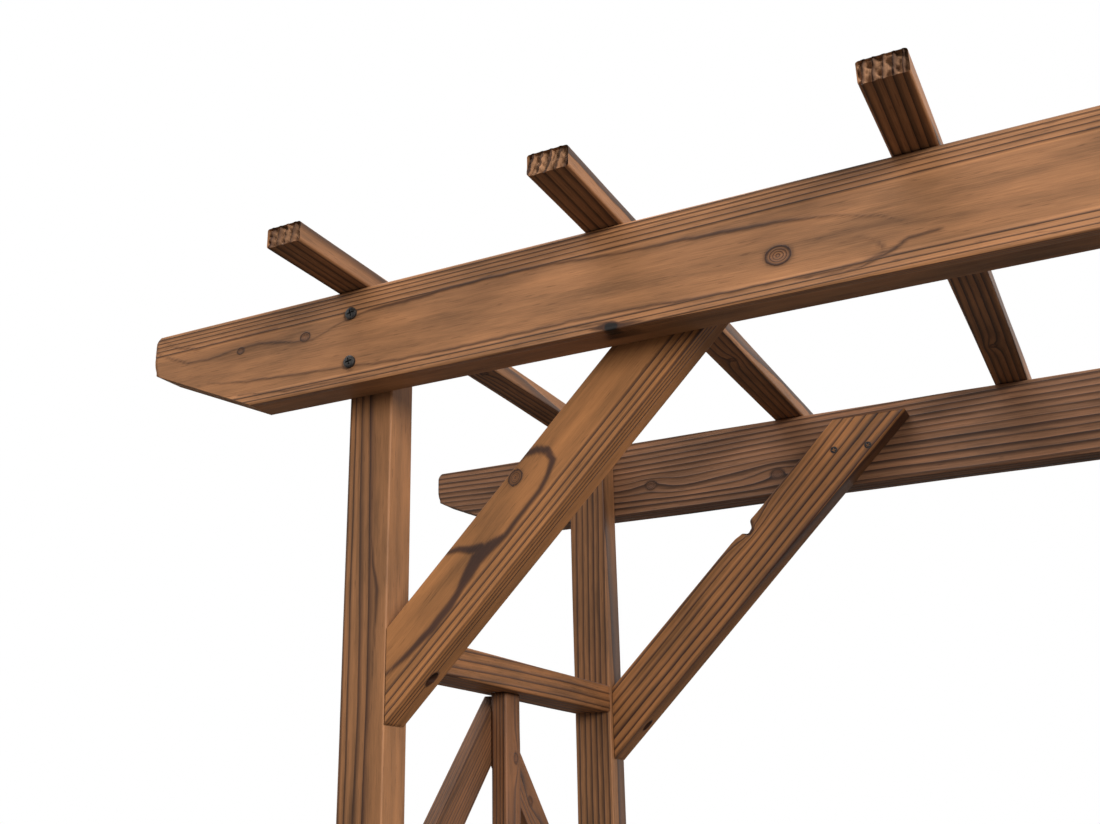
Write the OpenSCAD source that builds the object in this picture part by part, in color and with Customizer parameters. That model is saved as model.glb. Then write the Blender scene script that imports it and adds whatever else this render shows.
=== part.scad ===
// Garden arch of planed and heat-treated softwood: two side frames with a diamond lattice,
// two tapered beams screwed to the outer faces of the posts, rafters laid across the beams
// and a knee brace at 45 degrees in each corner. Origin on the ground below the centre of the
// arch, +X along the beams, -Y to the front, +Z up. Millimetres.

/* [Overall] */
// Height from the ground to the top of the rafters
total_height = 2050; // [1700:10:2600]
// Length of each beam, end to end
beam_length = 1432; // [1240:2:2400]
// Depth of the side frames, over the outer faces of the posts
frame_depth = 500; // [340:2:900]

/* [Beams] */
// Height of a beam
beam_height = 90; // [60:1:140]
// Thickness of a beam
beam_thickness = 34; // [20:1:50]
// Height of the square nose left at each beam end
beam_nose = 39; // [20:1:55]
// Length of the slanted cut under each beam end
beam_taper = 121; // [40:1:190]
// Radius of the eased corners at each beam end
nose_radius = 9; // [2:1:12]

/* [Posts] */
// Width of a post, along the beams
post_width = 45; // [35:1:90]
// Depth of a post, front to back
post_depth = 36; // [32:1:90]
// Distance from a beam end to the centre line of its posts
post_inset = 230; // [180:1:320]

/* [Rafters] */
// Width of a rafter
rafter_width = 35; // [25:1:60]
// Thickness of a rafter
rafter_thickness = 19; // [12:1:45]
// Length of a rafter beyond the outer face of each beam
rafter_overhang = 101; // [30:1:200]

/* [Knee braces] */
// Width of a brace, square to its length
brace_width = 56; // [35:1:80]
// Thickness of a brace
brace_thickness = 30; // [15:1:36]
// Distance from the top of the beam down to the head of a brace
brace_drop = 21; // [5:1:40]
// Distance from the top of the beam down to the foot of a brace
brace_reach = 377; // [260:1:470]
// Diameter of the pocket drilled in the lower edge of a brace
pocket_diameter = 10; // [6:1:14]
// Height of the pocket above the foot of the brace
pocket_rise = 36; // [32:1:60]
// Wood left between the bottom of the pocket and the post
pocket_floor = 16; // [8:1:24]
// Diameter of the screw hole from the pocket to the post
pilot_diameter = 4.5; // [3:0.5:6]

/* [Side lattice] */
// Height of a side rail
rail_height = 30; // [20:1:60]
// Distance from the top of the beam down to the top rail
top_rail_drop = 296; // [120:1:420]
// Distance from the ground up to the bottom rail
bottom_rail_rise = 170; // [60:1:400]
// Width of the centre upright of a bay
upright_width = 30; // [20:1:60]
// Thickness of the centre upright of a bay
upright_thickness = 18; // [10:1:25]
// Width of a diagonal slat
slat_width = 38; // [20:1:60]
// Thickness of a diagonal slat
slat_thickness = 15; // [8:1:19]
// Height over which the foot of a slat bears on its post
slat_bearing = 12; // [4:1:20]
// Gap left between the tips of neighbouring slats
slat_gap = 1; // [0.5:0.5:4]

/* [Finish] */
// Radius of the eased long edges of posts, rails, uprights and rafters
edge_radius = 2.5; // [1:0.5:4]

/* [Hidden] */

// sides, faces and halves of a bay
LEFT = -1;
RIGHT = 1;
FRONT = -1;
BACK = 1;
UPPER = 1;
LOWER = -1;

RAFTER_COUNT = 5;
BAY_COUNT = 3;
BRACE_ANGLE = 45;
ROUND = 48;
ARC_STEPS = 12;
OVERCUT = 1;

beam_top = total_height - rafter_thickness;
post_x = beam_length / 2 - post_inset;
post_inner_x = post_x - post_width / 2;
post_outer_x = post_x + post_width / 2;
rafter_pitch = 2 * post_x / (RAFTER_COUNT - 1);
rafter_length = frame_depth + 2 * (beam_thickness + rafter_overhang);
bay_width = frame_depth - 2 * post_depth;
rail_pitch = (beam_top - top_rail_drop - rail_height - bottom_rail_rise) / BAY_COUNT;
bay_height = rail_pitch - rail_height;
brace_foot_cut = brace_width / cos(BRACE_ANGLE);
brace_foot_z = beam_top - brace_reach;
brace_head_z = beam_top - brace_drop;

// Underside of the rail at a level, counted from 0 at the top.
function rail_underside(level) = beam_top - top_rail_drop - rail_height - level * rail_pitch;

// Mirrors its children to the left side.
module on_side(side) {
    mirror([side == LEFT ? 1 : 0, 0, 0]) children();
}

// Mirrors its children to the front.
module on_face(face) {
    mirror([0, face == FRONT ? 1 : 0, 0]) children();
}

// Rectangle centred on X, standing on Y = 0, with eased corners.
module eased_rectangle(width, height) {
    r = edge_radius;
    translate([r - width / 2, 0]) square([width - 2 * r, height]);
    translate([-width / 2, r]) square([width, height - 2 * r]);
    for (x = [r - width / 2, width / 2 - r], y = [r, height - r])
        translate([x, y]) circle(r = r, $fn = ROUND);
}

// Bar with eased long edges, standing on Z = 0, centred on X and Y.
module standing_bar(width, depth, length) {
    translate([0, -depth / 2, 0]) linear_extrude(height = length) eased_rectangle(width, depth);
}

// Bar with eased long edges along Y, lying on Z = 0, centred on X and Y.
module cross_bar(width, height, length) {
    rotate([90, 0, 0]) linear_extrude(height = length, center = true) eased_rectangle(width, height);
}

// Points of an arc about a centre, counter-clockwise between two angles.
function arc(centre, radius, start, end) = [
    for (i = [0:ARC_STEPS])
        let (angle = start + (end - start) * i / ARC_STEPS)
            centre + radius * [cos(angle), sin(angle)]
];

// Face of a beam: top edge on Y = 0, centred on X, with a slanted cut under each end.
module beam_outline() {
    centre_x = beam_length / 2 - nose_radius;
    taper_angle = atan2(beam_height - beam_nose, beam_taper);
    // the lower corner of the nose is eased between the plumb end and the slanted cut
    lower_y = nose_radius * tan((90 - taper_angle) / 2) - beam_nose;
    right_half = concat(
        [[beam_length / 2 - beam_taper, -beam_height]],
        arc([centre_x, lower_y], nose_radius, taper_angle - 90, 0),
        arc([centre_x, -nose_radius], nose_radius, 0, 90)
    );
    left_half = [for (i = [len(right_half) - 1:-1:0]) [-right_half[i].x, right_half[i].y]];
    polygon(concat(right_half, left_half));
}

// Beam lying against the outer faces of the two front or back posts.
module beam(face) {
    color("peru") on_face(face)
        translate([0, (frame_depth + beam_thickness) / 2, beam_top])
            rotate([90, 0, 0]) linear_extrude(height = beam_thickness, center = true) beam_outline();
}

// Post from the ground up to the top of the beams.
module post(side, face) {
    color("sienna") on_side(side) on_face(face)
        translate([post_x, (frame_depth - post_depth) / 2, 0])
            standing_bar(post_width, post_depth, beam_top);
}

// Rafter lying across both beams, counted from 1 at the left.
module rafter(number) {
    color("peru")
        translate([(number - 1) * rafter_pitch - post_x, 0, beam_top])
            cross_bar(rafter_width, rafter_thickness, rafter_length);
}

// Face of the right-hand brace in the XZ plane: plumb foot on the post, level head.
module brace_outline() {
    head_x = post_inner_x - (brace_head_z - brace_foot_z) / tan(BRACE_ANGLE);
    polygon([
        [post_inner_x, brace_foot_z],
        [post_inner_x, brace_foot_z + brace_foot_cut],
        [head_x + brace_foot_cut, brace_head_z],
        [head_x, brace_head_z],
    ]);
}

// Level screw hole through the foot of the right-hand brace, sunk as a pocket.
module pocket_hole() {
    translate([post_inner_x, 0, brace_foot_z + pocket_rise]) rotate([0, -90, 0]) {
        translate([0, 0, -OVERCUT])
            cylinder(d = pilot_diameter, h = pocket_floor + 2 * OVERCUT, $fn = ROUND);
        translate([0, 0, pocket_floor])
            cylinder(d = pocket_diameter, h = brace_width, $fn = ROUND);
    }
}

// Knee brace butted against the inner side of a post and lying against the beam.
module brace(side, face) {
    color("chocolate") on_side(side) on_face(face)
        translate([0, (frame_depth - brace_thickness) / 2, 0]) difference() {
            rotate([90, 0, 0]) linear_extrude(height = brace_thickness, center = true) brace_outline();
            pocket_hole();
        }
}

// Rail butted between the front and back posts of a side.
module rail(side, level) {
    color("sienna") on_side(side)
        translate([post_x, 0, rail_underside(level)])
            cross_bar(post_width, rail_height, bay_width);
}

// Centre upright of a bay, inside the slats and seated against them.
module upright(side, bay) {
    color("saddlebrown") on_side(side)
        translate([
            post_outer_x - slat_thickness - upright_thickness / 2,
            0,
            rail_underside(bay) - bay_height,
        ])
            standing_bar(upright_thickness, upright_width, bay_height);
}

// Slat from the middle of the upper rail down to the back post, in the YZ plane about the
// centre of the bay: plumb cuts at both ends and a level cut where it meets its mirror image.
module slat_outline() {
    run = bay_width / 2;
    rise = bay_height / 2;
    tip = slat_gap / 2;
    slope = (rise - slat_bearing) / run;
    plumb_width = slat_width * sqrt(1 + slope * slope);
    polygon([
        [tip, rise - slope * tip],
        [run, slat_bearing],
        [run, tip],
        [(rise - plumb_width - tip) / slope, tip],
        [tip, rise - plumb_width - slope * tip],
    ]);
}

// The two slats that spread from the centre of a bay's upper or lower rail to the posts.
module slats(side, bay, half) {
    color("chocolate") on_side(side)
        translate([post_outer_x - slat_thickness / 2, 0, rail_underside(bay) - bay_height / 2])
            mirror([0, 0, half == LOWER ? 1 : 0])
                for (face = [FRONT, BACK])
                    on_face(face) rotate([90, 0, 90])
                        linear_extrude(height = slat_thickness, center = true) slat_outline();
}

beam(FRONT);  // beam_front
beam(BACK);  // beam_back
post(LEFT, FRONT);  // post_front_left
post(RIGHT, FRONT);  // post_front_right
post(LEFT, BACK);  // post_back_left
post(RIGHT, BACK);  // post_back_right
rafter(1);  // rafter_1
rafter(2);  // rafter_2
rafter(3);  // rafter_3
rafter(4);  // rafter_4
rafter(5);  // rafter_5
brace(LEFT, FRONT);  // brace_front_left
brace(RIGHT, FRONT);  // brace_front_right
brace(LEFT, BACK);  // brace_back_left
brace(RIGHT, BACK);  // brace_back_right
rail(LEFT, 0);  // top_rail_left
rail(LEFT, 1);  // upper_rail_left
rail(LEFT, 2);  // lower_rail_left
rail(LEFT, 3);  // bottom_rail_left
rail(RIGHT, 0);  // top_rail_right
rail(RIGHT, 1);  // upper_rail_right
rail(RIGHT, 2);  // lower_rail_right
rail(RIGHT, 3);  // bottom_rail_right
upright(LEFT, 0);  // upright_top_left
upright(LEFT, 1);  // upright_middle_left
upright(LEFT, 2);  // upright_bottom_left
upright(RIGHT, 0);  // upright_top_right
upright(RIGHT, 1);  // upright_middle_right
upright(RIGHT, 2);  // upright_bottom_right
slats(LEFT, 0, UPPER);  // upper_slats_top_left
slats(LEFT, 0, LOWER);  // lower_slats_top_left
slats(LEFT, 1, UPPER);  // upper_slats_middle_left
slats(LEFT, 1, LOWER);  // lower_slats_middle_left
slats(LEFT, 2, UPPER);  // upper_slats_bottom_left
slats(LEFT, 2, LOWER);  // lower_slats_bottom_left
slats(RIGHT, 0, UPPER);  // upper_slats_top_right
slats(RIGHT, 0, LOWER);  // lower_slats_top_right
slats(RIGHT, 1, UPPER);  // upper_slats_middle_right
slats(RIGHT, 1, LOWER);  // lower_slats_middle_right
slats(RIGHT, 2, UPPER);  // upper_slats_bottom_right
slats(RIGHT, 2, LOWER);  // lower_slats_bottom_right
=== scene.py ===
import math

import bpy
import numpy as np
from mathutils import Matrix, Vector


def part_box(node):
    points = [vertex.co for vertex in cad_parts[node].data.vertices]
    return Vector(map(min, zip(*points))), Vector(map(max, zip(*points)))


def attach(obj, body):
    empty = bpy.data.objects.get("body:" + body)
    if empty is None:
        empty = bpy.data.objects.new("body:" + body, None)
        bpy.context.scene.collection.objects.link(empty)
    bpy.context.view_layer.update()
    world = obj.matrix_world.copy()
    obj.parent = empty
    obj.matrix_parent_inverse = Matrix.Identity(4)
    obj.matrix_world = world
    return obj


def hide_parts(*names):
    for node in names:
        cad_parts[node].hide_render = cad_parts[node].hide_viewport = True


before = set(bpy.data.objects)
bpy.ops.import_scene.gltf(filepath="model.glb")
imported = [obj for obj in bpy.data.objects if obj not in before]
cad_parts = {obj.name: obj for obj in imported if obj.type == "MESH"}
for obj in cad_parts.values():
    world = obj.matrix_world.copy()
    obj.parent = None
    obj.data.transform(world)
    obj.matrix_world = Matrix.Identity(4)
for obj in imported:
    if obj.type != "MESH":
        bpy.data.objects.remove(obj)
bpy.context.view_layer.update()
MM = 0.001

# ---- Camera: eye height, just in front of the arch, looking up at its left-hand corner --------
VIEW_FROM = Vector((0.1041, -1.1119, 1.5603))
VIEW_TURN, VIEW_RISE, VIEW_ROLL = 0.4973, 0.3356, -0.0037
camera = bpy.data.objects.new("camera", bpy.data.cameras.new("camera"))
camera.data.lens = 40.63
camera.data.shift_x, camera.data.shift_y = 0.0533, 0.0028
camera.data.clip_end = 60
camera.matrix_world = (
    Matrix.Translation(VIEW_FROM)
    @ Matrix.Rotation(VIEW_TURN, 4, "Z")
    @ Matrix.Rotation(math.pi / 2 + VIEW_RISE, 4, "X")
    @ Matrix.Rotation(VIEW_ROLL, 4, "Z")
)
bpy.context.collection.objects.link(camera)
bpy.context.scene.camera = camera

# ---- Beams -------------------------------------------------------------------------------------
# Two boards screwed to the outer faces of the posts. The front one's heart lies behind its face, so
# the middle is plain and the rings crowd towards the top and bottom edges. The back one's heart
# lies below it.
# Waves in mm, along and across: of a log's own drift, of its rings and of the planed surface.
DRIFT_WAVES, RING_WAVES, PLANED_WAVELENGTHS = (620, 150), (140, 60), (260, 70)
# Ring counts: how far a ring wavers, how softly a plain middle ends, the pull of a knot, and its
# own rings and blend.
RING_WAVER, PLAIN_EDGE = 0.035, 0.12
KNOT_PULL, KNOT_PULL_PLAIN = 0.8, 0.12
KNOT_RINGS, KNOT_BLEND = 4, 0.3
# A knot's length over its width, how far its pull reaches in radii, and how sharp its rim is.
KNOT_STRETCH, KNOT_REACH, KNOT_RIM = 1.25, (4.5, 2.2), 9
# A dark streak's softness at its edge in mm, and how many mm from there it stops changing; its
# waver and waves in mm, and how far behind the middle of the board it still shows.
STREAK_EDGE, FLAT_PAST = 0.45, 20
STREAK_WAVER, STREAK_WAVES, STREAK_WRAP = 0.5, (22, 40), 2
# A fallen knot's length over its width, and how far in front of the board's middle it starts.
FALLEN_STRETCH, FALLEN_DEPTH = 1.2, 6
# Latewood: its place and spread within a ring.
LATE_PLACE, LATE_SPREAD = 0.86, 0.15
# Depth in mm of planed wood below full size, height of its waves, a knot's depth as a share of
# the relief, and how far the rows of a sawn end draw in.
PLANED_DEPTH, PLANED_WAVES, KNOT_DEPTH, SAWN_DEPTH = 0.15, 0.12, 0.25, 0.6
# Corner rows as shares of the ease, and how far a sawn cut bends the rows behind it.
CORNER_STEPS, CUT_FADE = np.array([1, 0.6, 0.28, 0]), 2.2
SMOOTH_ANGLE = math.radians(50)


def soft_step(value):
    """Rises from 0 to 1 across the edge of a dark streak."""
    return 1 / (1 + np.exp(-np.clip(value, -FLAT_PAST, FLAT_PAST) / STREAK_EDGE))


def unevenness(place, seed, along, across):
    """Smooth seeded waves, mostly within 1 either way, about that many mm long along and across."""
    draw = np.random.default_rng(seed)
    total = np.zeros(len(place))
    for _ in range(7):
        length, breadth, depth = draw.uniform(0.6, 1.9, 3) * (along, across, across)
        start = draw.uniform(0, 2 * math.pi)
        sign = draw.choice((-1, 1))
        total += np.sin(2 * math.pi * (place[:, 0] / length + sign * place[:, 1] / breadth
                                       + place[:, 2] / depth) + start)
    return total / 4


def growth(place, log):
    """Ring count from the heart outwards, and how far into a knot, at places in a timber.

    A log gives its heart (u, v), ring width and seed. It may give start, sweep and drift of the
    ring count, a plain middle, figures (s, u, half length, half width, rings) that lift the
    rings over an oval, and knots (s, u, radius).
    """
    s, u, v = place.T
    heart_u = log["heart"][0] + log.get("sweep", 4) * np.sin(s / 330 + log["seed"])
    rings = np.hypot(u - heart_u, v - log["heart"][1]) / log["ring"] + log.get("start", 0)
    rings += log.get("drift", 0.35) * unevenness(place, log["seed"], *DRIFT_WAVES)
    rings += RING_WAVER * unevenness(place, log["seed"] + 1, *RING_WAVES)
    if "plain" in log:
        past = (rings - log["plain"]) / PLAIN_EDGE
        rings = log["plain"] + PLAIN_EDGE * np.logaddexp(0, past)
    for s0, u0, half_s, half_u, rise in log.get("figures", ()):
        rings += rise * np.exp(-(((s - s0) / half_s) ** 2) - ((u - u0) / half_u) ** 2)
    knot = np.zeros(len(place))
    for s0, u0, radius in log.get("knots", ()):
        reach = np.hypot((s - s0) / KNOT_STRETCH, u - u0) / radius
        pull = KNOT_PULL_PLAIN if "plain" in log else KNOT_PULL
        far_s, far_u = KNOT_REACH[0] * radius, KNOT_REACH[1] * radius
        rings -= pull * np.exp(-(((s - s0) / far_s) ** 2) - ((u - u0) / far_u) ** 2)
        inside = rings + KNOT_RINGS * (reach - 1)
        rings = -KNOT_BLEND * np.logaddexp(-rings / KNOT_BLEND, -inside / KNOT_BLEND)
        knot = np.maximum(knot, 1 / (1 + np.exp((reach - 1) * KNOT_RIM)))
    return rings, knot


def stain_and_hole_shade(place, log):
    """How far into the dark streaks of the outer face; a streak is (s, u, half width) points.

    A fallen knot, given as (s, u, radius), adds up to one more: painted shade, which the finish shows as
    black in place of the knot's uncut hole.
    """
    s, u, v = place.T
    u = u + STREAK_WAVER * unevenness(place, log["seed"] + 5, *STREAK_WAVES)
    depth = np.full(len(place), -9.0)  # well outside every streak
    for path in log.get("streaks", ()):
        for (s0, u0, w0), (s1, u1, w1) in zip(path, path[1:]):
            run = max((s1 - s0) ** 2 + (u1 - u0) ** 2, 1e-6)
            t = np.clip(((s - s0) * (s1 - s0) + (u - u0) * (u1 - u0)) / run, 0, 1)
            gap = np.hypot(s - s0 - t * (s1 - s0), u - u0 - t * (u1 - u0))
            depth = np.maximum(depth, w0 + t * (w1 - w0) - gap)
    streaks_and_hole_shade = soft_step(np.minimum(depth, v + STREAK_WRAP))
    for s0, u0, radius in log.get("fallen", ()):
        inside = radius - np.hypot((s - s0) / FALLEN_STRETCH, place[:, 1] - u0)
        streaks_and_hole_shade += np.where(v > FALLEN_DEPTH, soft_step(inside), 0)
    return streaks_and_hole_shade


def spread(half, ease, step):
    """Places from edge to edge of a face, close together on the eased corners."""
    corner = half - ease * CORNER_STEPS
    middle = np.linspace(-corner[0], corner[0], max(2, round(2 * corner[0] / step)) + 1)
    return np.concatenate([-corner[:0:-1], middle, corner[1:]])


def stations(length, step, fine):
    """Places along a timber: a step apart, finer round knots and holes, and close at the ends."""
    places = {0.0, 0.8, length - 0.8, length}
    places |= set(np.linspace(4, length - 4, max(2, round(length / step))))
    for centre, half, fine_step in fine:
        places |= set(np.arange(centre - half, centre + half, fine_step))
    ordered = sorted(p for p in places if 0 <= p <= length)
    kept = [0.0]
    for p in ordered:
        if p - kept[-1] > 0.7:
            kept.append(p)
    kept[-1] = length
    return np.array(kept)


def quads(grid):
    """Four-cornered faces over a grid of vertex numbers."""
    corners = (grid[:-1, :-1], grid[1:, :-1], grid[1:, 1:], grid[:-1, 1:])
    return np.stack(corners, -1).reshape(-1, 4)


def eased_section(u, v, half_u, half_v, ease):
    """A section with eased corners: its places, how near each is to a corner, and the way out."""
    over_u = np.clip((np.abs(u) - half_u + ease) / ease, 0, 1)
    over_v = np.clip((np.abs(v) - half_v + ease) / ease, 0, 1)
    round_u = over_u * np.sqrt(1 - over_v**2 / 2)
    round_v = over_v * np.sqrt(1 - over_u**2 / 2)
    u = np.sign(u) * np.where(over_u > 0, half_u - ease + ease * round_u, np.abs(u))
    v = np.sign(v) * np.where(over_v > 0, half_v - ease + ease * round_v, np.abs(v))
    out = np.stack([np.sign(u) * round_u, np.sign(v) * round_v], -1)
    out /= np.maximum(np.linalg.norm(out, axis=1), 1e-6)[:, None]
    return u, v, over_u * over_v, out


def sawn_shift(cuts, s, u, v, length):
    """How far each place moves along a timber so that its two ends follow their cuts."""
    shift = 0
    for cut, near, way in zip(cuts, (s, length - s), (1, -1)):
        if cut is not None:
            back = cut(u, v)
            fade = np.clip(1 - near / (CUT_FADE * back.max()), 0, 1)
            shift = shift + back * fade * way
    return shift


def timber(name, node, origin, along, across, size, log, finish, **how):
    """Saws a timber from its log, lays it at origin and lets it stand for a CAD node.

    How may set ease and relief in mm, the mesh step across and long_step along, (place, half
    length, step) of fine stretches, a cut for each end, how rough the two ends are, and carvings, whose
    hollows get painted shade.
    """
    length, width, thickness = size
    ease = how.get("ease", 1.2)
    relief = how.get("relief", 0.35)
    cuts = how.get("cuts", (None, None))
    step = how.get("step", 1.3)
    fine = [(s0, 3 * r, 2.5) for s0, _, r in log.get("knots", ())] + list(how.get("fine", ()))
    for path in log.get("streaks", ()):
        ends = [s0 for s0, _, _ in path]
        fine.append(((min(ends) + max(ends)) / 2, (max(ends) - min(ends)) / 2 + 6,
                     log.get("streak_step", 2.5)))
    grid_s = stations(length, how.get("long_step", 12), fine)
    grid_u = spread(width / 2, ease, step)
    grid_v = spread(thickness / 2, ease, step)
    shell = np.zeros((len(grid_s), len(grid_u), len(grid_v)), bool)
    shell[[0, -1]] = shell[:, [0, -1]] = shell[:, :, [0, -1]] = True
    number = np.full(shell.shape, -1)
    number[shell] = np.arange(shell.sum())
    i, j, k = np.nonzero(shell)
    s, u, v = grid_s[i], grid_u[j], grid_v[k]

    u, v, painted_arris_highlight, out = eased_section(u, v, width / 2, thickness / 2, ease)
    side = (j == 0) | (j == len(grid_u) - 1) | (k == 0) | (k == len(grid_v) - 1)
    out[~side] = 0
    s = s + sawn_shift(cuts, s, u, v, length)
    place = np.stack([s, u, v], -1)
    rings, knot = growth(place, log)

    # raised latewood lines, left out where the rings run closer than the mesh can show
    beside = place + np.stack([0 * s, -out[:, 1] * step, out[:, 0] * step], -1)
    crowded = np.abs(growth(beside, log)[0] - rings)
    from_late = (rings - LATE_PLACE) - np.round(rings - LATE_PLACE)
    late = np.exp(-(from_late / LATE_SPREAD) ** 2)
    shown = np.clip(1.5 - 3.4 * crowded, 0, 1) * side
    waves = PLANED_WAVES * unevenness(place, log["seed"] + 2, *PLANED_WAVELENGTHS)
    hollow = PLANED_DEPTH + relief * (1 - late) * shown + waves
    depth = np.maximum(hollow, 0) + KNOT_DEPTH * knot * relief
    first, last = i == 0, i == len(grid_s) - 1
    ends = (first.astype(float) - last)
    rough = how.get("rough", (0.15, 0.15))
    ragged = (1 - late) + 0.5 * (1 + unevenness(place, log["seed"] + 3, 9, 7))
    place[:, 0] += ends * np.where(first, rough[0], rough[1]) * ragged
    depth = depth + SAWN_DEPTH * np.abs(ends)
    place[:, 1:] -= out * depth[:, None]
    streaks_and_hole_shade = stain_and_hole_shade(place, log)
    # Carved hollows are marked so that painted shade darkens them.
    for carve in how.get("carve", ()):
        streaks_and_hole_shade = np.maximum(streaks_and_hole_shade, carve(place, j == 0))

    along, across = Vector(along).normalized(), Vector(across).normalized()
    axes = np.array([along, across, along.cross(across)])
    mesh = bpy.data.meshes.new(name)
    faces = np.concatenate([
        quads(number[-1]), quads(number[0])[:, ::-1],
        quads(number[:, -1].T), quads(number[:, 0].T)[:, ::-1],
        quads(number[:, :, -1]), quads(number[:, :, 0])[:, ::-1],
    ])
    low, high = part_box(node)
    mesh.from_pydata(np.clip(np.array(origin) + place @ axes * MM, low, high), [], faces)
    for label, kind, field, values in (
        ("rings", "FLOAT", "value", rings),
        ("knot", "FLOAT", "value", knot),
        ("stain_and_hole_shade", "FLOAT", "value", streaks_and_hole_shade),
        ("sawn", "FLOAT", "value", (~side).astype(float)),
        ("painted_arris_highlight", "FLOAT", "value", painted_arris_highlight * side),
        ("grain", "FLOAT_VECTOR", "vector", place),
    ):
        layer = mesh.attributes.new(label, kind, "POINT")
        layer.data.foreach_set(field, np.ascontiguousarray(values, np.float32).ravel())
    mesh.shade_smooth()
    mesh.set_sharp_from_angle(angle=SMOOTH_ANGLE)
    mesh.materials.append(finish)
    piece = bpy.data.objects.new(name, mesh)
    bpy.context.collection.objects.link(piece)
    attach(piece, "root")
    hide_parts(node)
    return piece


def add(tree, kind, inputs=(), **settings):
    """A node with its settings, its inputs set by number or name to values or other sockets."""
    new = tree.nodes.new(kind)
    for key, value in settings.items():
        setattr(new, key, value)
    for key, value in dict(inputs).items():
        if isinstance(value, bpy.types.NodeSocket):
            tree.links.new(value, new.inputs[key])
        else:
            new.inputs[key].default_value = value
    return new


def math_node(tree, operation, *values):
    return add(tree, "ShaderNodeMath", dict(enumerate(values)), operation=operation).outputs[0]


def ramp(tree, value, low, high, to_low=0.0, to_high=1.0, smooth=True):
    """Value between low and high, as a number between to_low and to_high."""
    interpolation = "SMOOTHSTEP" if smooth else "LINEAR"
    ranged = add(tree, "ShaderNodeMapRange", {0: value, 1: low, 2: high, 3: to_low, 4: to_high},
                 interpolation_type=interpolation)
    return ranged.outputs[0]


def blend_colour(tree, share, first, second, mode="MIX"):
    mixed = add(tree, "ShaderNodeMix", {0: share, 6: first, 7: second},
                data_type="RGBA", blend_type=mode)
    return mixed.outputs[2]


def streaks(tree, grain, scale, detail=2.0, rough=0.5):
    """Noise drawn out along the grain; scale is its waves per mm along, across and through."""
    placed = add(tree, "ShaderNodeMapping", {"Vector": grain, "Scale": scale}).outputs[0]
    noise = add(tree, "ShaderNodeTexNoise",
                {"Vector": placed, "Scale": 1.0, "Detail": detail, "Roughness": rough})
    return noise.outputs[0]


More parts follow.
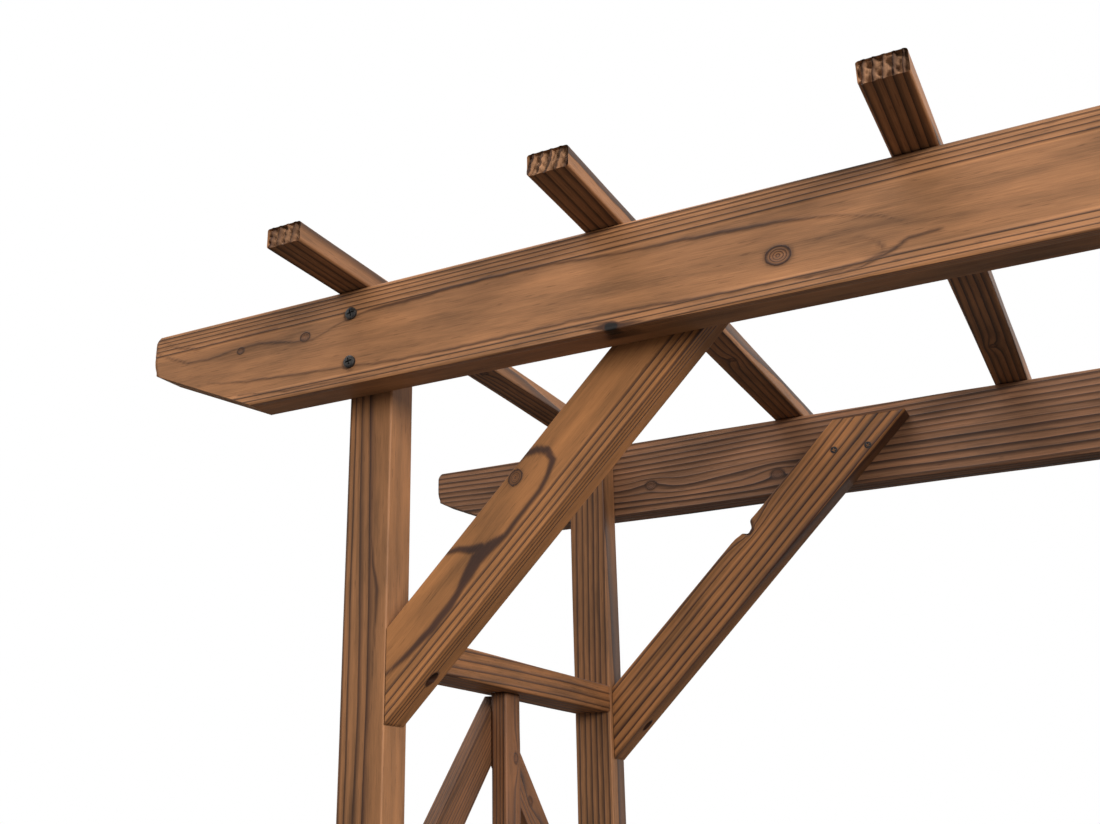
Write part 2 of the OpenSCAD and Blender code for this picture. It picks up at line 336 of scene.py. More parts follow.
def fir(name, early, late, seed, contrast=1.0):
    """Heat-treated fir: pale earlywood, dark latewood lines that differ from ring to ring."""
    material = bpy.data.materials.new(name)
    material.use_nodes = True
    tree = material.node_tree
    shader = tree.nodes["Principled BSDF"]

    def layer(label):
        return add(tree, "ShaderNodeAttribute", attribute_name=label)

    grain = layer("grain").outputs["Vector"]
    knot, sawn = layer("knot").outputs["Fac"], layer("sawn").outputs["Fac"]
    painted_arris_highlight = layer("painted_arris_highlight").outputs["Fac"]
    wobble = streaks(tree, grain, (0.02, 0.35, 0.35), 3.0)
    count = math_node(tree, "ADD", layer("rings").outputs["Fac"],
                      math_node(tree, "MULTIPLY", math_node(tree, "SUBTRACT", wobble, 0.5), 0.12))
    part = math_node(tree, "FRACT", count)
    whole = math_node(tree, "FLOOR", count)
    chance = add(tree, "ShaderNodeTexWhiteNoise", {"W": math_node(tree, "ADD", whole, seed + 0.5)},
                 noise_dimensions="1D").outputs[0]
    begins = ramp(tree, chance, 0, 1, 0.6, 0.28, smooth=False)
    rise = add(tree, "ShaderNodeMapRange", {0: part, 1: begins, 2: 0.93},
               interpolation_type="SMOOTHSTEP").outputs[0]
    line = math_node(tree, "MULTIPLY", rise, ramp(tree, part, 0.955, 1.0, 1.0, 0.0))
    strength = ramp(tree, chance, 0, 1, 0.86 * contrast, min(1.0, 1.15 * contrast), smooth=False)
    line = math_node(tree, "MULTIPLY", line, strength)
    streak_and_hole_shade_share = layer("stain_and_hole_shade").outputs["Fac"]
    # The streaks take the latewood colour, and so does the painted shade in carved hollows.
    line = math_node(tree, "MAXIMUM", line, ramp(tree, streak_and_hole_shade_share, 0, 1, 0, 0.97, smooth=False))

    # faint bands inside each ring, fibres, and slow clouds of colour from the heat treatment
    band = add(tree, "ShaderNodeTexNoise", {"W": math_node(tree, "MULTIPLY", count, 2.3), "Scale": 1.0,
               "Detail": 3.0}, noise_dimensions="1D").outputs[0]
    fibre = streaks(tree, grain, (0.03, 1.1, 1.1), 5.0, 0.72)
    cloud = streaks(tree, grain, (0.008, 0.06, 0.06), 4.0, 0.6)
    fleck = ramp(tree, streaks(tree, grain, (0.055, 0.75, 0.75), 1.0), 0.66, 0.74)
    tone = math_node(tree, "ADD", math_node(tree, "MULTIPLY", band, 0.3),
                     math_node(tree, "MULTIPLY", fibre, 0.34))
    tone = math_node(tree, "ADD", tone, math_node(tree, "MULTIPLY", cloud, 0.66))
    shade = ramp(tree, tone, 0.45, 0.86, 0.42, 1.44, smooth=False)
    warm = [c * 0.86 + d * 0.14 for c, d in zip(early, late)]
    ground = blend_colour(tree, cloud, (*early, 1), (warm[0], warm[1] * 0.92, warm[2] * 0.86, 1))
    colour = blend_colour(tree, line, ground, (*late, 1))
    colour = blend_colour(tree, math_node(tree, "MULTIPLY", fleck, 0.35), colour, (*late, 1))
    colour = blend_colour(tree, math_node(tree, "MULTIPLY", knot, 0.45), colour,
                          (late[0] * 1.7, late[1] * 1.5, late[2] * 1.4, 1))
    rim = math_node(tree, "MULTIPLY", knot, math_node(tree, "SUBTRACT", 1.0, knot))
    colour = blend_colour(tree, math_node(tree, "MULTIPLY", rim, 2.6), colour,
                          (late[0] * 0.7, late[1] * 0.7, late[2] * 0.7, 1))
    # Painted shade: a fallen knot's hole is not cut but coloured near black.
    colour = blend_colour(tree, ramp(tree, streak_and_hole_shade_share, 1.2, 1.9), colour, (0.006, 0.004, 0.003, 1))
    grey = [c * 1.15 for c in early]
    end_line = blend_colour(tree, line, (grey[0], grey[1] * 1.08, grey[2] * 1.25, 1),
                            (late[0] * 1.1, late[1] * 1.1, late[2] * 1.2, 1))
    colour = blend_colour(tree, math_node(tree, "MULTIPLY", sawn, 0.85), colour, end_line)
    # Painted highlight: the colour is made up to 18 percent lighter on the eased corners.
    shaded = add(tree, "ShaderNodeVectorMath", {0: colour}, operation="SCALE")
    tree.links.new(math_node(tree, "MULTIPLY", shade, ramp(tree, painted_arris_highlight, 0, 1, 1.0, 1.18)),
                   shaded.inputs["Scale"])
    tree.links.new(shaded.outputs[0], shader.inputs["Base Color"])

    pores = streaks(tree, grain, (1.5, 1.5, 1.5), 3.0, 0.7)
    height = math_node(tree, "ADD", math_node(tree, "MULTIPLY", line, 0.30),
                       math_node(tree, "MULTIPLY", fibre, 0.22))
    height = math_node(tree, "ADD", height, math_node(tree, "MULTIPLY", sawn,
                       math_node(tree, "MULTIPLY", pores, 0.8)))
    bump = add(tree, "ShaderNodeBump", {"Strength": 0.75, "Distance": 0.001, "Height": height})
    tree.links.new(bump.outputs[0], shader.inputs["Normal"])
    gloss = math_node(tree, "ADD", ramp(tree, line, 0, 1, 0.6, 0.5), ramp(tree, sawn, 0, 1, 0, 0.3))
    tree.links.new(gloss, shader.inputs["Roughness"])
    shader.inputs["Specular IOR Level"].default_value = 0.3
    return material


def node_size(node):
    """Lowest corner of a CAD node in metres, and its size in mm along X, Y and Z."""
    low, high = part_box(node)
    return low, (high - low) / MM


BEAM_NOSE, BEAM_TAPER, NOSE_ROUND = 39, 121, 9


def nose_cut(u, v):
    """Tapered end of a beam: plumb nose with eased corners, then a slanted cut to the underside."""
    height = BEAM_HEIGHT / 2
    down = height - u
    slope = BEAM_TAPER / (BEAM_HEIGHT - BEAM_NOSE)
    top = NOSE_ROUND - np.sqrt(np.maximum(NOSE_ROUND**2 - np.maximum(NOSE_ROUND - down, 0) ** 2, 0))
    slant = np.maximum(down - BEAM_NOSE, 0) * slope
    ease = 3.0
    corner = ease * np.exp(-(((down - BEAM_NOSE) / 7.0) ** 2))
    return np.maximum(top, 0) + np.maximum(slant, corner)


BEAM_HEIGHT = node_size("beam_front")[1].z
beam_fir = fir("beam_fir", (0.372, 0.175, 0.074), (0.044, 0.016, 0.007), 3)
back_beam_fir = fir("back_beam_fir", (0.225, 0.108, 0.053), (0.036, 0.015, 0.008), 7, 0.9)
BEAM_LOGS = {
    "beam_front": {
        "heart": (-4, -46), "ring": 2.2, "start": 0.1, "sweep": 2, "seed": 11, "drift": 0.2,
        "plain": 31.2, "streak_step": 5.0, "fallen": [(477, -42, 4.8)],
        "knots": [(612, -13, 7.5), (180, 10, 4.0), (106, 11, 3.0), (1010, 6, 7.0), (1245, -18, 4.5)],
        "figures": [(1060, 4, 120, 16, 1.2)],
        "streaks": [
            [(2, 29, 0.3), (22, 19, 0.6), (43, 11, 0.8), (63, 10, 0.9), (87, 12, 0.7), (102, 14, 0.3),
             (129, 14, 1.0), (151, 11, 1.1), (168, 7, 0.6), (188, 6, 0.2), (202, 10, 0.2),
             (219, 16, 0.3), (240, 20, 0.6), (257, 22, 1.3), (288, 22, 1.8), (324, 24, 1.6),
             (368, 25, 1.3), (428, 24, 1.1), (489, 19, 0.8), (537, 18, 1.4), (580, 16, 1.7),
             (618, 14, 1.1), (655, 9, 0.5), (689, 0, 0.2), (705, -10, -0.3)],
            [(7, 42, 0.2), (29, 29, 0.5), (50, 24, 0.7), (90, 25, 0.5), (147, 26, 0.4)],
            [(66, -14, -0.2), (105, -20, 0.6), (161, -24, 0.9), (218, -27, 0.5), (272, -31, 0.7),
             (337, -32, 1.2), (413, -31, 0.9), (456, -30, 0.7), (500, -31, 1.0), (538, -33, 1.3),
             (577, -34, 0.9), (614, -34, 0.5), (650, -35, 0.9), (673, -33, 1.0), (688, -28, 0.7),
             (684, -19, 0.2), (670, -12, -0.3)],
            [(106, -33, 0.3), (162, -38, 0.8), (218, -39, 0.5), (259, -41, 0.3)],
            [(434, -35, 0.0), (460, -37, 0.5), (474, -38, 0.5)],
            [(728, -20, 0.8), (704, -22, 1.2), (691, -29, 1.4), (668, -37, 0.7), (641, -38, 0.1)],
            [(458, -40, 0.1), (473, -42, 4.0), (506, -43, 0.2)]],
    },
    "beam_back": {
        "heart": (-70, -22), "ring": 6.4, "start": 0.1, "sweep": 6, "seed": 23, "drift": 0.5,
        "knots": [(300, -12, 5.5), (455, -20, 6.0), (905, 8, 6.0), (1180, -22, 5.0)],
        "figures": [(330, -18, 60, 14, 0.7), (430, -26, 90, 12, 0.6)],
    },
}
for node, log in BEAM_LOGS.items():
    low, size = node_size(node)
    middle = low + Vector((0, size.y, size.z)) * MM / 2
    timber(f"{node}_board", node, middle, (1, 0, 0), (0, 0, 1), (size.x, size.z, size.y),
           log, beam_fir if node == "beam_front" else back_beam_fir,
           cuts=(nose_cut, nose_cut), long_step=14)

# ---- Posts ---------------------------------------------------------------------------------------
# Four planed posts, 45 by 36 mm, standing on their sawn feet and running up behind the beams to
# the underside of the rafters. Their long edges are eased.
post_fir = fir("post_fir", (0.266, 0.123, 0.050), (0.044, 0.017, 0.008), 17, 0.95)
POST_LOGS = {
    "post_front_left": {"heart": (-12, -30), "ring": 3.0, "start": 0.1, "seed": 31, "drift": 0.15,
                        "sweep": 3, "plain": 16.2, "knots": [(880, -8, 6)],
                        "figures": [(1700, 2, 190, 9, 0.7)],
                        "streaks": [[(1900, -2, -0.2), (1830, -3, 0.5), (1790, -7, 1.3),
                                     (1765, -12, 1.8), (1740, -11, 0.8), (1690, -9, 0.0)]]},
    "post_front_right": {"heart": (40, -34), "ring": 5.6, "seed": 37,
                         "knots": [(1240, 4, 6), (600, -9, 5)]},
    "post_back_left": {"heart": (52, -10), "ring": 6.2, "start": 0.2, "seed": 41, "sweep": 3,
                       "drift": 0.2, "knots": [(1010, -4, 6)]},
    "post_back_right": {"heart": (-46, 24), "ring": 5.8, "seed": 43, "knots": [(1500, 6, 5), (720, 3, 7)]},
}
for node, log in POST_LOGS.items():
    low, size = node_size(node)
    foot = low + Vector((size.x, size.y, 0)) * MM / 2
    timber(f"{node}_timber", node, foot, (0, 0, 1), (-1, 0, 0), (size.z, size.x, size.y),
           log, post_fir, ease=2.5, relief=0.3, long_step=20, step=1.5)

# ---- Knee braces ---------------------------------------------------------------------------------
# A board at 45 degrees in each corner, with a plumb foot on the post and a level head behind the
# beam. A pocket drilled level into the lower edge takes the foot screw. A knot has broken out of
# the upper edge of the one at the back on the left.
brace_fir = fir("brace_fir", (0.331, 0.144, 0.049), (0.040, 0.015, 0.008), 29)
BRACE_WIDTH = 56
HALF_BRACE = BRACE_WIDTH / 2
POCKET_RISE, POCKET_RADIUS, POCKET_FLOOR = 36, 5, 16
POCKET_PLACE = POCKET_RISE * math.sqrt(2)
# Mesh points this near the pocket's edge, in radii, are drawn onto it.
POCKET_RIM = (0.74, 1.25)
BITE_PLACE, BITE_DEPTH = 294, 7.5
BRACE_LOGS = {
    "brace_front_left": {
        "heart": (20, -40), "ring": 3.2, "start": 0.28, "seed": 5, "sweep": 1, "drift": 0.06,
        "plain": 19.15, "knots": [(221, 21, 5)],
        "streaks": [
            [(228, 29, 2), (240, 28, 2.6), (250, 22, 3.2), (255, 14, 3.6), (252, 4, 3.2),
             (240, -1, 2.2), (227, -4, 2.0), (201, -4.5, 2.0), (181, -5, 2.4), (166, -1, 5),
             (150, 2, 6), (137, -1, 5), (122, -4, 3.2), (108, -6, 3.6), (82, -6, 3.4),
             (58, -4, 2.6), (37, -1, 1.8), (20, 3, 1.2)],
            [(160, 5, 4), (152, 12, 3.4), (146, 20, 2.6), (136, 28, 1.6)]]},
    "brace_front_right": {"heart": (10, -52), "ring": 3.4, "seed": 59, "knots": [(330, -12, 6)]},
    "brace_back_left": {
        "heart": (70, -12), "ring": 8.2, "start": 0.15, "seed": 61, "sweep": 7, "drift": 0.15,
        "knots": [(296, 27, 6)]},
    "brace_back_right": {"heart": (-62, 6), "ring": 7.0, "seed": 67, "knots": [(180, 10, 5)]},
}


def plumb_and_level(u, v):
    """Both ends of a brace are cut at 45 degrees, from its lower edge upwards."""
    return u + HALF_BRACE


def pocket(place, lower):
    """Level flat-bottomed hole in the lower edge, drilled towards the post. Gives where shade is painted in
    it.
    """
    s, v = place[:, 0], place[:, 2]
    away = (s - POCKET_PLACE) / math.sqrt(2)
    reach = np.hypot(away, v) / POCKET_RADIUS
    rim = lower & (reach > POCKET_RIM[0]) & (reach < POCKET_RIM[1])
    inside = lower & (reach <= POCKET_RIM[0])
    place[rim, 0] = POCKET_PLACE + (s[rim] - POCKET_PLACE) / reach[rim]
    place[rim, 2] = v[rim] / reach[rim]
    deep = (place[inside, 0] - (place[inside, 1] + HALF_BRACE)) / math.sqrt(2) - POCKET_FLOOR
    place[inside, 0] -= deep / math.sqrt(2)
    place[inside, 1] += deep / math.sqrt(2)
    return inside | rim


def broken_knot(place, lower):
    """The gap that a fallen knot left in the upper edge, deepest at the face. Gives where shade is painted in
    it.
    """
    s, u, v = place.T
    near = np.exp(-(((s - BITE_PLACE) / 6.5) ** 4)) + 0.35 * np.exp(-(((s - BITE_PLACE + 9) / 7) ** 2))
    down = np.clip((u - 14) / 14, 0, 1) * np.clip((v + 13) / 20, 0, 1)
    place[:, 1] -= BITE_DEPTH * near * down
    return near * down > 0.5


for node, log in BRACE_LOGS.items():
    low, size = node_size(node)
    left = node.endswith("left")
    lean = 1 if left else -1
    corner = Vector((low.x if left else low.x + size.x * MM, low.y + size.y * MM / 2, low.z))
    across = Vector((-lean, 0, 1)).normalized()
    broken = node == "brace_back_left"
    timber(f"{node}_board", node, corner + across * HALF_BRACE * MM, (lean, 0, 1), across,
           (size.z * math.sqrt(2), BRACE_WIDTH, size.y), log, brace_fir,
           cuts=(plumb_and_level, plumb_and_level), long_step=12, step=1.4,
           fine=[(POCKET_PLACE, 12, 1.3)] + [(BITE_PLACE - 2, 16, 1.3)] * broken,
           carve=[pocket] + [broken_knot] * broken)

# ---- Rafters -------------------------------------------------------------------------------------
# Quartered laths, 35 by 19 mm, laid flat across the beams. The rings stand upright in their rough
# sawn ends, where the soft earlywood has crumbled back between the hard latewood.
rafter_fir = fir("rafter_fir", (0.275, 0.130, 0.057), (0.038, 0.016, 0.008), 71)
RAFTER_HEARTS = {1: (96, 20), 2: (-92, -26), 3: (104, 8), 4: (-98, 18), 5: (90, -20)}
for number, heart in RAFTER_HEARTS.items():
    node = f"rafter_{number}"
    low, size = node_size(node)
    front = low + Vector((size.x, 0, size.z)) * MM / 2
    log = {"heart": heart, "ring": 6.4 + 0.5 * (number % 3), "seed": 80 + number, "drift": 0.25,
           "sweep": 3, "knots": [(250 + 90 * number, 6 - 3 * number, 3.5)]}
    timber(f"{node}_lath", node, front, (0, 1, 0), (1, 0, 0), (size.y, size.x, size.z),
           log, rafter_fir, ease=2.5, relief=0.5, rough=(2.6, 2.6), step=1.2, long_step=16)

# ---- Rails ---------------------------------------------------------------------------------------
# Short rails butted between the posts of each side; the lattice panels stand between them.
rail_fir = fir("rail_fir", (0.288, 0.125, 0.046), (0.048, 0.018, 0.009), 97)
for order, (level, side) in enumerate(
        (level, side) for level in ("top", "upper", "lower", "bottom") for side in ("left", "right")):
    node = f"{level}_rail_{side}"
    low, size = node_size(node)
    front = low + Vector((size.x, 0, size.z)) * MM / 2
    log = {"heart": (48 - 12 * (order % 4), -34 + 9 * (order % 3)), "ring": 5.2 + 0.5 * (order % 3),
           "start": 0.3 * order, "seed": 100 + order, "drift": 0.25, "sweep": 2,
           "knots": [(130 + 40 * order, 4, 4)] if order % 3 == 2 else []}
    timber(f"{node}_timber", node, front, (0, 1, 0), (0, 0, 1), (size.y, size.z, size.x),
           log, rail_fir, ease=2.5, relief=0.35, step=1.4, long_step=14)

# ---- Lattice -------------------------------------------------------------------------------------
# Each of the three panels a side has a centre upright with four diagonal slats fixed flat across
# its outer face, their plumb ends meeting on the upright and bearing on the posts.
# Painted shade: the uprights' and slats' earlywood is set about a third darker than that of the other
# timbers, for the shadow the lattice stands in.
upright_fir_painted_shade = fir("upright_fir_painted_shade", (0.170, 0.072, 0.028), (0.046, 0.018, 0.009), 113, 0.9)
slat_fir_painted_shade = fir("slat_fir_painted_shade", (0.171, 0.074, 0.030), (0.050, 0.020, 0.010), 127, 0.95)
SLAT_WIDTH, SLAT_BEARING, SLAT_TIP = 38, 12, 0.5
SLAT_SAMPLES = 400
PANELS = [(bay, side) for bay in ("top", "middle", "bottom") for side in ("left", "right")]
for order, (bay, side) in enumerate(PANELS):
    node = f"upright_{bay}_{side}"
    low, size = node_size(node)
    foot = low + Vector((size.x, size.y, 0)) * MM / 2
    log = {"heart": (6 - 4 * (order % 3), -30 - 6 * (order % 2)), "ring": 3.6, "start": 0.2 * order,
           "seed": 140 + order, "drift": 0.4, "knots": [(420 - 60 * order, -4, 4)]}
    timber(f"{node}_lath", node, foot, (0, 0, 1), (0, -1, 0), (size.z, size.y, size.x),
           log, upright_fir_painted_shade, ease=2.5, relief=0.3, step=1.4, long_step=14)


def slat(name, node, level, toward, order):
    """One slat: level is 1 above the middle of its panel and -1 below; toward is its post's side."""
    low, size = node_size(node)
    run = size.y / 2
    slope = (size.z + SLAT_TIP - SLAT_BEARING) / (run - SLAT_TIP)
    steep = math.hypot(1, slope)
    peak_z = low.z + (size.z * MM if level > 0 else 0)
    middle_z = low.z - SLAT_TIP * MM if level > 0 else low.z + (size.z + SLAT_TIP) * MM
    half = SLAT_WIDTH / 2
    drop = abs(peak_z - middle_z) / MM
    along = Vector((0, toward, -slope * level)) / steep
    across = Vector((0, toward * slope, level)) / steep

    def at_centre(u, v):
        return (half - u) * slope

    def reach(u):
        plumb = (run - SLAT_TIP + (half - u) * slope / steep) * steep
        level_cut = (drop - SLAT_TIP - (half - u) / steep) * steep / slope
        return np.minimum(plumb, level_cut)

    length = reach(np.linspace(-half, half, SLAT_SAMPLES)).max()
    start = Vector((low.x + size.x * MM / 2, toward * SLAT_TIP * MM, peak_z)) - across * half * MM
    log = {"heart": (30 - 14 * (order % 5), -20 - 7 * (order % 3)), "ring": 3.4 + 0.5 * (order % 4),
           "start": 0.37 * order, "seed": 200 + order, "drift": 0.3, "sweep": 2,
           "knots": [(90 + 30 * (order % 6), 5 - 3 * (order % 4), 4)] if order % 4 == 1 else []}
    timber(name, node, start, along, across, (length, SLAT_WIDTH, size.x), log, slat_fir_painted_shade,
           cuts=(at_centre, lambda u, v: length - reach(u)), step=1.5, long_step=14, relief=0.3)


for order, (bay, side) in enumerate(PANELS):
    for half_name, level in (("upper", 1), ("lower", -1)):
        node = f"{half_name}_slats_{bay}_{side}"
        for face, toward in (("front", -1), ("back", 1)):
            slat(f"{half_name}_slat_{bay}_{side}_{face}", node, level, toward,
                 order * 4 + (level < 0) * 2 + (toward > 0))

# ---- Screws --------------------------------------------------------------------------------------
# Black pan heads hold the beams to the posts. Smaller countersunk heads hold the brace heads, the
# rafters and the slats on their upright, and one sits at the bottom of each brace's pocket.
# The crown's ball over the head's radius, the recess's arms over that radius, and facets.
CROWN_SPREAD, RECESS_SPAN = 1.35, 1.15
HEAD_SIDES, HEAD_RINGS = 20, 10


def screw_tree(name):
    """A crowned head with a cross recess on every point, facing the way its attribute says."""
    tree = bpy.data.node_groups.new(name, "GeometryNodeTree")
    sockets = tree.interface
    sockets.new_socket("Seats", in_out="INPUT", socket_type="NodeSocketGeometry")
    for label in ("Head Radius", "Crown Height", "Rim Height", "Recess Width"):
        sockets.new_socket(label, in_out="INPUT", socket_type="NodeSocketFloat")
    sockets.new_socket("Seed", in_out="INPUT", socket_type="NodeSocketInt")
    sockets.new_socket("Finish", in_out="INPUT", socket_type="NodeSocketMaterial")
    sockets.new_socket("Screws", in_out="OUTPUT", socket_type="NodeSocketGeometry")
    given = add(tree, "NodeGroupInput").outputs
    radius, crown, rim = given["Head Radius"], given["Crown Height"], given["Rim Height"]
    scale = add(tree, "ShaderNodeCombineXYZ", {
        0: math_node(tree, "MULTIPLY", radius, CROWN_SPREAD),
        1: math_node(tree, "MULTIPLY", radius, CROWN_SPREAD), 2: crown})
    ball = add(tree, "GeometryNodeMeshUVSphere", {"Segments": HEAD_SIDES, "Rings": HEAD_RINGS, "Radius": 1.0})
    dome = add(tree, "GeometryNodeTransform", {"Geometry": ball.outputs[0], "Scale": scale.outputs[0]})
    disc = add(tree, "GeometryNodeMeshCylinder", {"Vertices": HEAD_SIDES, "Radius": radius,
               "Depth": math_node(tree, "MULTIPLY", crown, 2.4)})
    head = add(tree, "GeometryNodeMeshBoolean", operation="INTERSECT")
    tree.links.new(dome.outputs[0], head.inputs[1])
    tree.links.new(disc.outputs[0], head.inputs[1])
    arm = math_node(tree, "MULTIPLY", radius, RECESS_SPAN)
    width, deep = given["Recess Width"], math_node(tree, "MULTIPLY", rim, 2.0)
    recess = add(tree, "GeometryNodeMeshBoolean", {0: head.outputs[0]}, operation="DIFFERENCE")
    for sides in ((arm, width, deep), (width, arm, deep)):
        size = add(tree, "ShaderNodeCombineXYZ", dict(enumerate(sides)))
        bar = add(tree, "GeometryNodeMeshCube", {"Size": size.outputs[0]})
        lift = add(tree, "ShaderNodeCombineXYZ", {2: crown})
        raised = add(tree, "GeometryNodeTransform",
                     {"Geometry": bar.outputs[0], "Translation": lift.outputs[0]})
        tree.links.new(raised.outputs[0], recess.inputs[1])
    facing = add(tree, "GeometryNodeInputNamedAttribute", {"Name": "facing"}, data_type="FLOAT_VECTOR")
    turned = add(tree, "FunctionNodeAlignRotationToVector", {"Vector": facing.outputs[0]}, axis="Z")
    placed = add(tree, "GeometryNodeInstanceOnPoints",
                 {"Points": given["Seats"], "Instance": recess.outputs[0], "Rotation": turned.outputs[0]})
    spin = add(tree, "FunctionNodeRandomValue", {1: (0, 0, math.pi / 2), "Seed": given["Seed"]},
               data_type="FLOAT_VECTOR")
    spun = add(tree, "GeometryNodeRotateInstances",
               {"Instances": placed.outputs[0], "Rotation": spin.outputs[0]})
    real = add(tree, "GeometryNodeRealizeInstances", {0: spun.outputs[0]})
    coated = add(tree, "GeometryNodeSetMaterial", {0: real.outputs[0], "Material": given["Finish"]})
    result = add(tree, "NodeGroupOutput")
    tree.links.new(coated.outputs[0], result.inputs[0])
    return tree


def drive_screws(name, seats, sizes):
    """Screw heads at (place, facing) seats, made by the tree and kept as one plain mesh."""
    points = bpy.data.meshes.new(name)
    points.from_pydata([place for place, _ in seats], [], [])
    facing = points.attributes.new("facing", "FLOAT_VECTOR", "POINT")
    facing.data.foreach_set("vector", [c for _, way in seats for c in way])
    holder = bpy.data.objects.new(f"{name}_seats", points)
    bpy.context.collection.objects.link(holder)
    modifier = holder.modifiers.new("screws", "NODES")
    modifier.node_group = SCREW_TREE
    values = {**sizes, "Finish": screw_black}
    for item in SCREW_TREE.interface.items_tree:
        if item.name in values:
            modifier[item.identifier] = values[item.name]
    shown = holder.evaluated_get(bpy.context.evaluated_depsgraph_get())
    mesh = bpy.data.meshes.new_from_object(shown)
    bpy.data.objects.remove(holder)
    mesh.name = name
    piece = bpy.data.objects.new(name, mesh)
    bpy.context.collection.objects.link(piece)
    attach(piece, "root")


screw_black = bpy.data.materials.new("screw_black")
screw_black.use_nodes = True
coat = screw_black.node_tree.nodes["Principled BSDF"]
wear = add(screw_black.node_tree, "ShaderNodeTexNoise", {
    "Vector": add(screw_black.node_tree, "ShaderNodeTexCoord").outputs["Object"],
    "Scale": 900.0, "Detail": 3.0}).outputs[0]
screw_black.node_tree.links.new(
    blend_colour(screw_black.node_tree, ramp(screw_black.node_tree, wear, 0.45, 0.7),
                 (0.012, 0.011, 0.011, 1), (0.05, 0.042, 0.036, 1)), coat.inputs["Base Color"])
screw_black.node_tree.links.new(ramp(screw_black.node_tree, wear, 0.3, 0.7, 0.28, 0.5),
                                coat.inputs["Roughness"])
coat.inputs["Metallic"].default_value = 0.3
SCREW_TREE = screw_tree("screw_heads")
PAN_HEAD = {"Head Radius": 5.7 * MM, "Crown Height": 3.2 * MM, "Rim Height": 1.7 * MM,
            "Recess Width": 1.3 * MM, "Seed": 4}
FLUSH_HEAD = {"Head Radius": 3.9 * MM, "Crown Height": 0.45 * MM, "Rim Height": 1.1 * MM,
              "Recess Width": 1.0 * MM, "Seed": 9}
# In mm: how far a head sits inside the timber's face, then distances below the top of a beam, back
# from a brace's head and below its top, out from an upright's centre line and away from the point
# where slats meet, and up from a pocket's floor.
WOOD_SET_BACK = 0.45
PAN_DROPS = (23, 69)
BRACE_SCREW_BACK, BRACE_SCREW_DROP = (43.5, 80.5), 35
SLAT_SCREW_SIDE, SLAT_SCREW_DROP = 9, 38
POCKET_SCREW_RISE = 0.2
beam_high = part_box("beam_front")[1]
pan_seats, flush_seats = [], []
for face in (-1, 1):
    beam_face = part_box("beam_front" if face < 0 else "beam_back")[0 if face < 0 else 1].y
    for side in ("left", "right"):
        post_low, post_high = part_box(f"post_front_{side}")
        for down in PAN_DROPS:
            place = ((post_low.x + post_high.x) / 2, beam_face - face * WOOD_SET_BACK * MM,
                     beam_high.z - down * MM)
            pan_seats.append((place, (0, face, 0)))
        brace_low, brace_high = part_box(f"brace_{'front' if face < 0 else 'back'}_{side}")
        inner_y = (brace_high if face < 0 else brace_low).y + face * WOOD_SET_BACK * MM
        toward_post = -1 if side == "left" else 1
        head_x = brace_high.x if side == "left" else brace_low.x
        for across in BRACE_SCREW_BACK:
            place = (head_x + toward_post * across * MM, inner_y, brace_high.z - BRACE_SCREW_DROP * MM)
            flush_seats.append((place, (0, -face, 0)))
        foot_x = brace_low.x if side == "left" else brace_high.x
        place = (foot_x - toward_post * (POCKET_FLOOR + POCKET_SCREW_RISE) * MM,
                 (brace_low.y + brace_high.y) / 2, brace_low.z + POCKET_RISE * MM)
        flush_seats.append((place, (-toward_post, 0, 0)))
for number in RAFTER_HEARTS:
    lath_low, lath_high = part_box(f"rafter_{number}")
    for beam in ("beam_front", "beam_back"):
        low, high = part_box(beam)
        flush_seats.append((((lath_low.x + lath_high.x) / 2, (low.y + high.y) / 2,
                             lath_high.z - WOOD_SET_BACK * MM), (0, 0, 1)))
for bay, side in PANELS:
    outward = -1 if side == "left" else 1
    for half_name, level in (("upper", 1), ("lower", -1)):
        low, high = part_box(f"{half_name}_slats_{bay}_{side}")
        outer_x = (low if side == "left" else high).x - outward * WOOD_SET_BACK * MM
        tip_z = high.z if level > 0 else low.z
        for toward in (-1, 1):
            place = (outer_x, toward * SLAT_SCREW_SIDE * MM, tip_z - level * SLAT_SCREW_DROP * MM)
            flush_seats.append((place, (outward, 0, 0)))
drive_screws("beam_screws", pan_seats, PAN_HEAD)
drive_screws("flush_screws", flush_seats, FLUSH_HEAD)

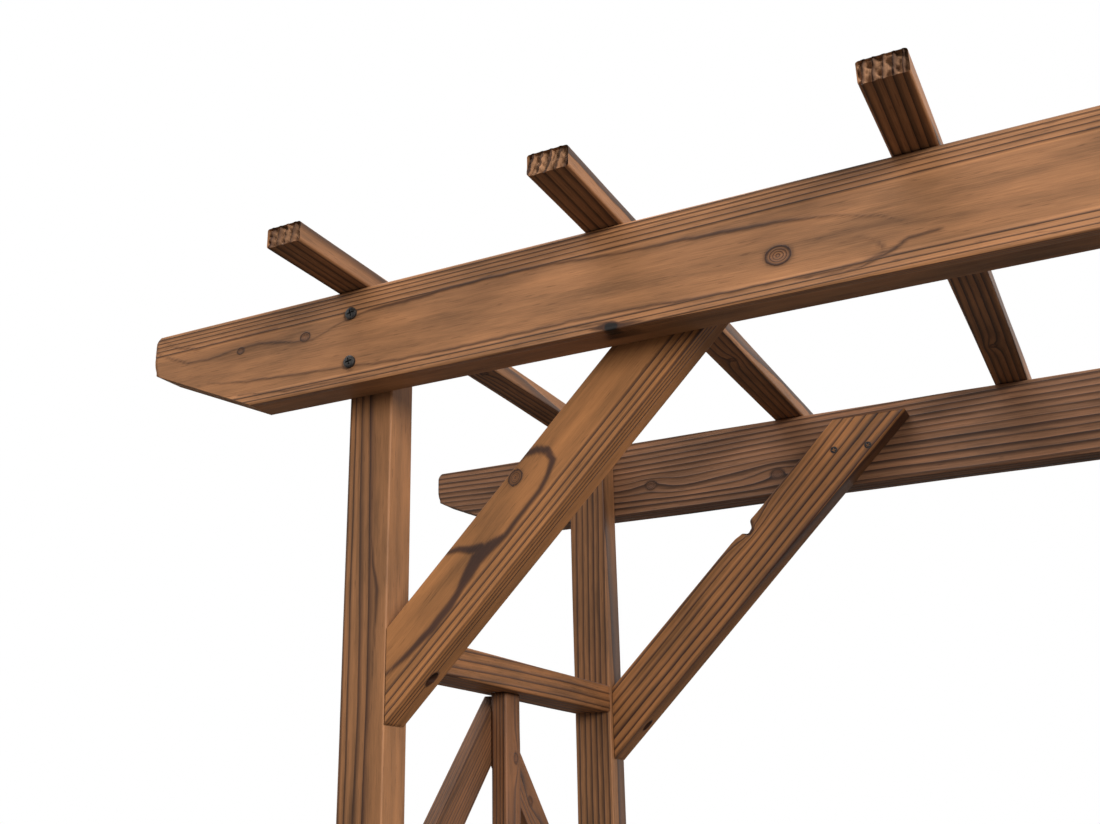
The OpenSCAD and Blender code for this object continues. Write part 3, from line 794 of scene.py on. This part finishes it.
# ---- Stage ---------------------------------------------------------------------------------------
# A pale floor under a white sky, with soft light from above and a broad lamp in front and to the
# right. The floor and the horizon throw little light back, so undersides stay dark.
# The floor's reach in metres, its colour as seen and as it lights the rest, and how the sky's
# light grows between two heights.
FLOOR_REACH = 30
FLOOR_SEEN, FLOOR_LIGHT = (0.86, 0.86, 0.85, 1), (0.14, 0.13, 0.12, 1)
SKY_HEIGHTS, SKY_LEVELS = (-0.1, 0.9), (0.10, 0.95)
floor_mesh = bpy.data.meshes.new("floor")
floor_corners = [(x * FLOOR_REACH, y * FLOOR_REACH, 0) for x, y in ((-1, -1), (1, -1), (1, 1), (-1, 1))]
floor_mesh.from_pydata(floor_corners, [], [(0, 1, 2, 3)])
floor_finish = bpy.data.materials.new("pale_floor")
floor_finish.use_nodes = True
floor_shader = floor_finish.node_tree.nodes["Principled BSDF"]
floor_path = add(floor_finish.node_tree, "ShaderNodeLightPath")
floor_finish.node_tree.links.new(
    blend_colour(floor_finish.node_tree, floor_path.outputs["Is Camera Ray"],
                 FLOOR_LIGHT, FLOOR_SEEN), floor_shader.inputs["Base Color"])
floor_shader.inputs["Roughness"].default_value = 0.9
floor_mesh.materials.append(floor_finish)
floor = bpy.data.objects.new("floor", floor_mesh)
bpy.context.collection.objects.link(floor)

world = bpy.data.worlds.new("studio")
world.use_nodes = True
bpy.context.scene.world = world
sky = world.node_tree
path = add(sky, "ShaderNodeLightPath")
seen = math_node(sky, "MAXIMUM", path.outputs["Is Camera Ray"], path.outputs["Is Glossy Ray"])
upward = add(sky, "ShaderNodeSeparateXYZ", {0: add(sky, "ShaderNodeTexCoord").outputs["Generated"]})
from_above = ramp(sky, upward.outputs[2], *SKY_HEIGHTS, *SKY_LEVELS)
level = math_node(sky, "MAXIMUM", seen, from_above)
sky.links.new(level, sky.nodes["Background"].inputs["Strength"])
sky.nodes["Background"].inputs["Color"].default_value = (1, 1, 1, 1)


def lamp(name, place, target, size, power):
    """A square soft lamp that looks at a target."""
    light = bpy.data.objects.new(name, bpy.data.lights.new(name, "AREA"))
    light.data.size = size
    light.data.energy = power
    light.location = place
    light.rotation_euler = (Vector(target) - Vector(place)).to_track_quat("-Z", "Y").to_euler()
    bpy.context.collection.objects.link(light)


lamp("front_lamp", (3.5, -2.9, 3.0), (-0.2, 0, 1.6), 1.8, 270)
lamp("top_lamp", (-0.6, -0.6, 4.6), (0, 0, 1.5), 2.5, 60)

bpy.context.scene.view_settings.view_transform = "Standard"
